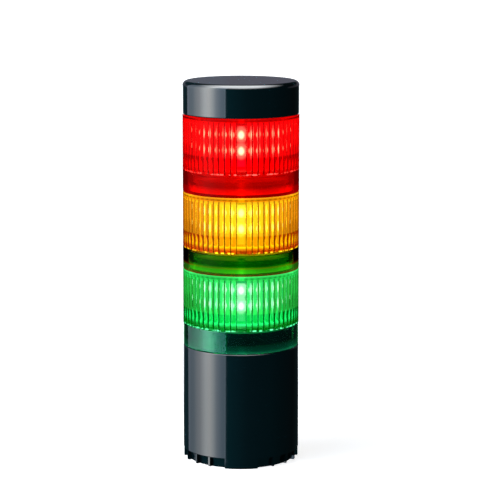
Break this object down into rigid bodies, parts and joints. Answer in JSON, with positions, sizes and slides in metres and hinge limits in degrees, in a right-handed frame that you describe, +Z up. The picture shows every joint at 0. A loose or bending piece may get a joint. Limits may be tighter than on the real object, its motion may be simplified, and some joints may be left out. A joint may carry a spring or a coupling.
{
  "type": "signal tower",
  "caption": "Cylindrical stack light: a black direct-mount base, lit fluted lens tiers in green, amber and red, and a flat black cap, joined by twist locks.",
  "frame": {"origin": "centre of the mounting plane, under the base", "axes": "+Z up along the tower's axis, front towards -Y, +X to the right seen from the front"},
  "size_m": [0.06, 0.06, 0.197],
  "materials": {
    "black_plastic": "gloss moulded",
    "housing_black": "moulded",
    "housing_grey": "moulded",
    "board_grey": "grey solder mask",
    "green_lens": "clear, fluted inside",
    "amber_lens": "clear, fluted inside",
    "red_lens": "clear, fluted inside",
    "carrier_white": "moulded",
    "board_white": "white solder mask",
    "board_green": "green solder mask",
    "green_led": "lit",
    "amber_led": "lit",
    "red_led": "lit",
    "contact_brass": "plated",
    "screw_steel": "zinc plated",
    "seal_rubber": "matt",
    "capacitor_can": "sleeved",
    "chip_epoxy": "moulded",
    "terminal_plastic": "moulded"
  },
  "bodies": {
    "base": {"body_shell": "black_plastic", "base_neck_seal": "seal_rubber", "base_gasket": "seal_rubber", "mounting_inserts": "contact_brass", "cable_grommet": "seal_rubber", "control_board": "board_green", "board_screws": "screw_steel", "terminal_block": "terminal_plastic", "capacitors": "capacitor_can", "driver_chips": "chip_epoxy", "base_contact_housing": "housing_black", "base_contact_plate": "board_green", "base_contact_pads": "contact_brass", "base_contact_screws": "screw_steel"},
    "green_tier": {"green_lens": "green_lens", "green_neck_seal": "seal_rubber", "green_led_carrier": "carrier_white", "green_led_boards": "board_white", "green_leds": "green_led", "green_contact_rods": "contact_brass", "green_contact_housing": "housing_grey", "green_contact_plate": "board_grey", "green_contact_pads": "contact_brass", "green_contact_screws": "screw_steel"},
    "amber_tier": {"amber_lens": "amber_lens", "amber_neck_seal": "seal_rubber", "amber_led_carrier": "carrier_white", "amber_led_boards": "board_white", "amber_leds": "amber_led", "amber_contact_rods": "contact_brass", "amber_contact_housing": "housing_grey", "amber_contact_plate": "board_grey", "amber_contact_pads": "contact_brass", "amber_contact_screws": "screw_steel"},
    "red_tier": {"red_lens": "red_lens", "red_neck_seal": "seal_rubber", "red_led_carrier": "carrier_white", "red_led_boards": "board_white", "red_leds": "red_led", "red_contact_rods": "contact_brass", "red_contact_housing": "housing_grey", "red_contact_plate": "board_grey", "red_contact_pads": "contact_brass", "red_contact_screws": "screw_steel"},
    "cap": {"cap_shell": "black_plastic"}
  },
  "joints": [
    {"name": "green_tier_twist_lock", "type": "hinge", "parent": "base", "child": "green_tier", "pos_m": [0, 0, 0.06], "axis": [0, 0, 1], "range_deg": [0, 18]},
    {"name": "amber_tier_twist_lock", "type": "hinge", "parent": "green_tier", "child": "amber_tier", "pos_m": [0, 0, 0.1], "axis": [0, 0, 1], "range_deg": [0, 18]},
    {"name": "red_tier_twist_lock", "type": "hinge", "parent": "amber_tier", "child": "red_tier", "pos_m": [0, 0, 0.14], "axis": [0, 0, 1], "range_deg": [0, 18]},
    {"name": "cap_twist_lock", "type": "hinge", "parent": "red_tier", "child": "cap", "pos_m": [0, 0, 0.18], "axis": [0, 0, 1], "range_deg": [0, 18]}
  ]
}
